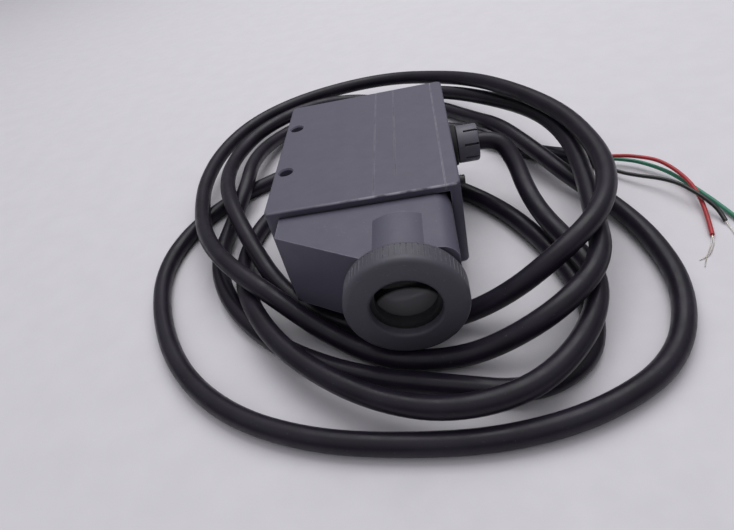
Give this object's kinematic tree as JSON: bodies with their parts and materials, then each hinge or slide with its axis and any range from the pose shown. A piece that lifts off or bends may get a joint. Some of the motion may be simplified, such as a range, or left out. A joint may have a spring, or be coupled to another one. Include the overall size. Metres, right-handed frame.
{
  "type": "photoelectric sensor",
  "caption": "Contrast photoelectric sensor: flat grey housing, slanted nose with ribbed focus ring and recessed lens, side gland and long black cable in loose turns.",
  "frame": {"origin": "midway between the two mounting holes, at mid-thickness of the housing", "axes": "+Z along the mounting holes, out of the upper broad face; the lens looks along -Y; the cable gland leaves along +X"},
  "size_m": [0.1947, 0.2152, 0.0386],
  "materials": {
    "housing_grey": "fine moulded texture, satin",
    "ring_grey": "fine moulded texture, ribbed edge",
    "gland_grey": "satin",
    "panel_black": "satin",
    "black_plastic": "matte",
    "black_rubber": "matte",
    "cable_black": "satin PVC jacket",
    "steel": "zinc plated",
    "lens_glass": "polished",
    "clear_plastic": "clear moulded",
    "green_clear": "tinted clear",
    "red_clear": "tinted clear",
    "board_green": "solder mask",
    "blue_plastic": "satin",
    "terminal_green": "satin",
    "capacitor_can": "sleeved can",
    "lead_insulation": "PVC insulation",
    "wire_red": "PVC insulation",
    "wire_green": "PVC insulation",
    "wire_black": "PVC insulation",
    "tinned_copper": "tinned strands"
  },
  "bodies": {
    "housing": {"housing_shell": "housing_grey", "end_cover": "housing_grey", "cover_gasket": "black_rubber", "control_panel": "panel_black", "cover_screws": "steel", "nose_block": "housing_grey", "lens_barrel": "black_plastic", "barrel_seal": "black_rubber", "optics_carrier": "black_plastic", "beam_splitter": "lens_glass", "emitter_led": "clear_plastic", "condenser_lens": "lens_glass", "aperture_plate": "steel", "photodiode": "black_plastic", "main_board": "board_green", "board_screws": "steel", "board_chips": "black_plastic", "capacitors": "capacitor_can", "potentiometer": "blue_plastic", "indicator_leds": "clear_plastic", "light_pipe_green": "green_clear", "light_pipe_red": "red_clear", "wire_terminal": "terminal_green", "gland_washer": "black_rubber", "gland_body": "gland_grey", "gland_seal": "black_rubber", "gland_nut": "gland_grey", "cable_tail": "cable_black", "inner_leads": "lead_insulation", "cable_turn_1": "cable_black", "cable_turn_2": "cable_black", "cable_turn_3": "cable_black", "cable_turn_4": "cable_black", "cable_turn_5": "cable_black", "wire_red": "wire_red", "wire_green": "wire_green", "wire_black": "wire_black", "tinned_ends": "tinned_copper"},
    "focus": {"focus_ring": "ring_grey"},
    "lens": {"lens_cell": "black_plastic", "objective_lens": "lens_glass", "lens_retainer": "black_plastic", "drive_pins": "steel"},
    "adjuster": {"sensitivity_shaft": "black_plastic"}
  },
  "joints": [
    {"name": "focus_turn", "type": "hinge", "parent": "housing", "child": "focus", "pos_m": [0.0343, -0.0655, 0], "axis": [0, -1, 0], "range_deg": [-135, 135]},
    {"name": "lens_focus", "type": "slide", "parent": "housing", "child": "lens", "axis": [0, -1, 0], "range_m": [-0.00076, 0.00076]},
    {"name": "sensitivity_turn", "type": "hinge", "parent": "housing", "child": "adjuster", "pos_m": [0.05, -0.0139, 0], "axis": [1, 0, 0], "range_deg": [-135, 135]}
  ],
  "couplings": [
    {"joint": "lens_focus", "follows": "focus_turn", "m_per_rad": 0.00031831}
  ]
}
